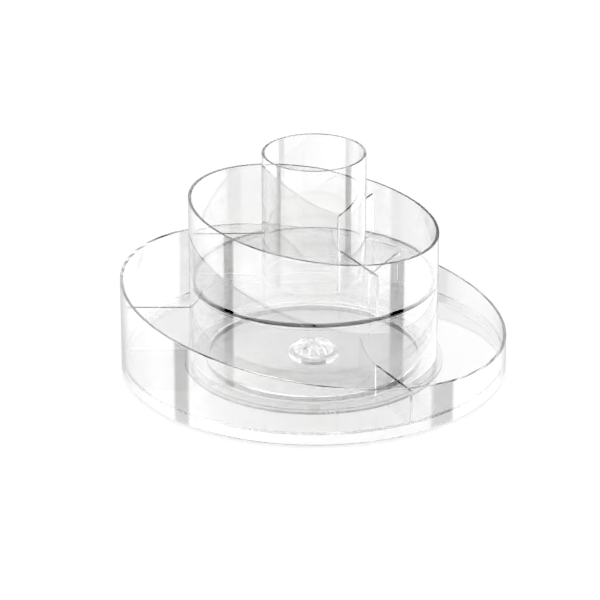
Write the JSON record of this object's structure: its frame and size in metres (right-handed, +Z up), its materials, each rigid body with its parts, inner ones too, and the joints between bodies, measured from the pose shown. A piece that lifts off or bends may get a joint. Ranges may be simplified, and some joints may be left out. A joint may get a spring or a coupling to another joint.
{
  "type": "rotating organiser",
  "caption": "Clear round turntable organiser with a wide lower tray, a lift-off upper tray on a drum, slanted walls, radial dividers and a tall centre cup.",
  "frame": {"origin": "on the table, on the axis that the trays turn about", "axes": "+Z up along the turning axis, +X towards the low side of both slanted walls, -Y towards the viewer"},
  "size_m": [0.3, 0.3, 0.176],
  "materials": {
    "clear_wall": "clear colourless acrylic, polished",
    "clear_floor": "clear colourless acrylic sheet, polished",
    "clear_divider": "clear colourless acrylic sheet, polished",
    "clear_plate": "clear colourless acrylic, polished",
    "clear_hub": "clear moulded plastic",
    "foot_pads": "clear soft silicone"
  },
  "bodies": {
    "foot": {"foot_plate": "clear_plate", "hub": "clear_hub", "foot_pad_1": "foot_pads", "foot_pad_2": "foot_pads", "foot_pad_3": "foot_pads", "foot_pad_4": "foot_pads", "foot_pad_5": "foot_pads", "foot_pad_6": "foot_pads"},
    "lower_tray": {"lower_floor": "clear_floor", "lower_wall": "clear_wall", "drum_wall": "clear_wall", "lower_divider_left": "clear_divider", "lower_divider_front": "clear_divider", "lower_divider_rear": "clear_divider"},
    "upper_tray": {"upper_floor": "clear_floor", "upper_wall": "clear_wall", "locating_ring": "clear_wall", "cup_wall": "clear_wall", "upper_divider_left": "clear_divider", "upper_divider_front": "clear_divider", "upper_divider_rear": "clear_divider"}
  },
  "joints": [
    {"name": "tray_spin", "type": "hinge", "parent": "foot", "child": "lower_tray", "pos_m": [0, 0, 0.0105], "axis": [0, 0, 1], "continuous": true},
    {"name": "upper_lift", "type": "slide", "parent": "lower_tray", "child": "upper_tray", "axis": [0, 0, 1], "range_m": [0, 0.09]}
  ]
}
